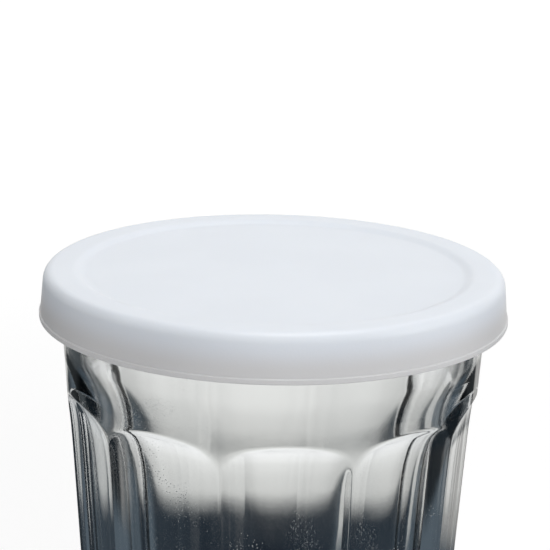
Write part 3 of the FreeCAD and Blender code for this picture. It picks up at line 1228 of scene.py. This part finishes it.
@dataclass
class Studio:
    """Pale floor, soft lamps and the surroundings that the glass shows.

    Args:
        around: the surroundings.
        floor_size: width of the floor, in metres.
        floor_drop: gap between floor and foot, which keeps their faces apart, in metres.
        floor_colour: colour of the floor.
        near_lift: light that the eye sees added to the floor by the jar.
        far_lift: the same far away, where the lamps don't reach.
        lift_reach: distances from the jar between which one becomes the other, in metres.
        fill: strength of the even light from all round.
        lamps: (place, width in metres, watts) of each lamp.
    """

    around: Surroundings
    floor_size: float = 40.0
    floor_drop: float = 0.0002
    floor_colour: Colour = (0.80, 0.80, 0.80)
    near_lift: float = 0.37
    far_lift: float = 0.70
    lift_reach: tuple[float, float] = (0.15, 0.80)
    fill: float = 0.43
    lamps: tuple[tuple[Side, float, float], ...] = (
        (Side.ABOVE, 0.4, 1.8),
        (Side.RIGHT, 0.5, 1.3),
        (Side.FRONT, 0.6, 1.9),
    )

    def floor_surface(self, bench: NodeBench) -> bpy.types.NodeSocket:
        """Make the floor white to the eye, and the table with its windows to the glass.

        Args:
            bench: bench that the nodes stand on.

        Returns:
            The floor's shader.
        """
        cloth = bench.add("ShaderNodeBsdfDiffuse")
        cloth.inputs["Color"].default_value = (*self.floor_colour, 1.0)
        place = bench.add("ShaderNodeTexCoord").outputs["Object"]
        away = bench.add("ShaderNodeVectorMath", operation="LENGTH")
        bench.feed(away.inputs[0], place)
        rise = bench.ramp(away.outputs["Value"], *self.lift_reach)
        gain = bench.math("MULTIPLY", rise, self.far_lift - self.near_lift)
        lift = bench.add("ShaderNodeEmission")
        bench.feed(lift.inputs["Strength"], bench.math("ADD", gain, self.near_lift))
        path = bench.add("ShaderNodeLightPath").outputs
        bright = bench.add("ShaderNodeAddShader")
        bench.feed(bright.inputs[0], cloth.outputs[0])
        bench.feed(bright.inputs[1], lift.outputs[0])
        plain = bench.either(path["Is Camera Ray"], cloth.outputs[0], bright.outputs[0])
        shown = bench.add("ShaderNodeEmission")
        bench.feed(shown.inputs["Color"], self.around.floor_colour(bench))
        return bench.either(seen_by_glass(bench), plain, shown.outputs[0])

    def floor(self) -> bpy.types.Object:
        """Lay the floor, which catches the jar's shadow.

        Returns:
            The floor.
        """
        bpy.ops.mesh.primitive_plane_add(size=self.floor_size, location=(0, 0, -self.floor_drop))
        plane = bpy.context.object
        plane.name = "studio_floor"
        material = bpy.data.materials.new("studio_floor")
        material.use_nodes = True
        material.node_tree.nodes.clear()
        bench = NodeBench(material.node_tree)
        surface = self.floor_surface(bench)
        bench.feed(bench.add("ShaderNodeOutputMaterial").inputs["Surface"], surface)
        plane.data.materials.append(material)
        return plane

    def world(self) -> None:
        """Even fill light, white to the eye, with the windows that the glass shows."""
        world = bpy.data.worlds.new("studio")
        bpy.context.scene.world = world
        world.use_nodes = True
        world.node_tree.nodes.clear()
        bench = NodeBench(world.node_tree)
        fill = bench.add("ShaderNodeBackground")
        fill.inputs["Strength"].default_value = self.fill
        shown = bench.add("ShaderNodeBackground")
        bench.feed(shown.inputs["Color"], self.around.sky_colour(bench))
        white = bench.add("ShaderNodeBackground")
        for background in (fill, white):
            background.inputs["Color"].default_value = (*WHITE, 1.0)
        unseen = bench.either(seen_by_glass(bench), fill.outputs[0], shown.outputs[0])
        path = bench.add("ShaderNodeLightPath").outputs
        surface = bench.either(path["Is Camera Ray"], unseen, white.outputs[0])
        bench.feed(bench.add("ShaderNodeOutputWorld").inputs["Surface"], surface)

    def lamp(self, side: Side, size: float, watts: float, aim: Vector) -> bpy.types.Object:
        """A square soft lamp that faces a point.

        Args:
            side: the lamp's place.
            size: its width, in metres.
            watts: its power.
            aim: the point that it faces.

        Returns:
            The lamp.
        """
        light = bpy.data.lights.new(f"softbox_{side.name.lower()}", "AREA")
        light.size = size
        light.energy = watts
        lamp = bpy.data.objects.new(light.name, light)
        bpy.context.scene.collection.objects.link(lamp)
        place = Vector(side.value)
        lamp.matrix_world = (aim - place).to_track_quat("-Z", "Y").to_matrix().to_4x4()
        lamp.matrix_world.translation = place
        lamp.visible_transmission = False
        return lamp

    def build(self, aim: Vector) -> None:
        """Set up floor, world and lamps, the front lamp without its mirror image.

        Args:
            aim: the point that the lamps face.
        """
        self.floor()
        self.world()
        for side, size, watts in self.lamps:
            self.lamp(side, size, watts, aim).visible_glossy = side is not Side.FRONT


@dataclass(frozen=True)
class CameraView:
    """The camera, set by where it stands round the jar.

    Angles are in radians.

    Args:
        aim_height: height of the point that it looks at, in mm.
        aim_right: how far that point lies to the right of the axis, in mm.
        distance: distance from that point, in mm.
        azimuth: turn round the jar, from the front towards +X.
        elevation: angle above the level.
        roll: tilt about its own line of view.
        lens: focal length, in mm.
        sensor: width of the sensor, in mm.
    """

    aim_height: float = 106.53
    aim_right: float = 0.12
    distance: float = 450.5
    azimuth: float = math.radians(-4.48)
    elevation: float = math.radians(15.386)
    roll: float = math.radians(1.171)
    lens: float = 155.4
    sensor: float = 36.0

    def build(self) -> bpy.types.Object:
        """Make the camera, and make it the scene's own.

        Returns:
            The camera.
        """
        level = math.cos(self.elevation)
        back = Vector((
            math.sin(self.azimuth) * level,
            -math.cos(self.azimuth) * level,
            math.sin(self.elevation),
        ))
        right = Vector((math.cos(self.azimuth), math.sin(self.azimuth), 0.0))
        up = right.cross(-back)
        aim = right * self.aim_right * MM + Vector((0.0, 0.0, self.aim_height * MM))
        across = math.cos(self.roll) * right + math.sin(self.roll) * up
        upward = math.cos(self.roll) * up - math.sin(self.roll) * right
        data = bpy.data.cameras.new("camera")
        data.sensor_width = self.sensor
        data.lens = self.lens
        camera = bpy.data.objects.new("camera", data)
        bpy.context.scene.collection.objects.link(camera)
        camera.matrix_world = Matrix((across, upward, back)).transposed().to_4x4()
        camera.matrix_world.translation = aim + back * self.distance * MM
        bpy.context.scene.camera = camera
        return camera


# ---------------------------------------------------------------- putting it together


def main() -> None:
    """Build the jar, the lid, the studio and the camera."""
    logging.basicConfig(level=logging.INFO, format="%(name)s: %(message)s")
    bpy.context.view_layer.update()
    _, jar_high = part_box("jar")
    lid_low, lid_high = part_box("lid")
    jar = PressedJar(height=jar_high[2] / MM, bead_radius=jar_high[0] / MM)
    lid = PressOnLid(
        top=lid_high[2] / MM,
        bottom=lid_low[2] / MM,
        lip_radius=lid_high[0] / MM,
        rim=jar.height,
    )
    for piece in (jar.build(ClearGlass()), lid.build(SatinPlastic())):
        LOG.info("%s has %d faces", piece.name, len(piece.data.polygons))
    Studio(Surroundings()).build(Vector((0.0, 0.0, lid.top * MM)))
    CameraView().build()
    bpy.context.scene.view_settings.view_transform = "Standard"


if __name__ == "__main__":
    main()
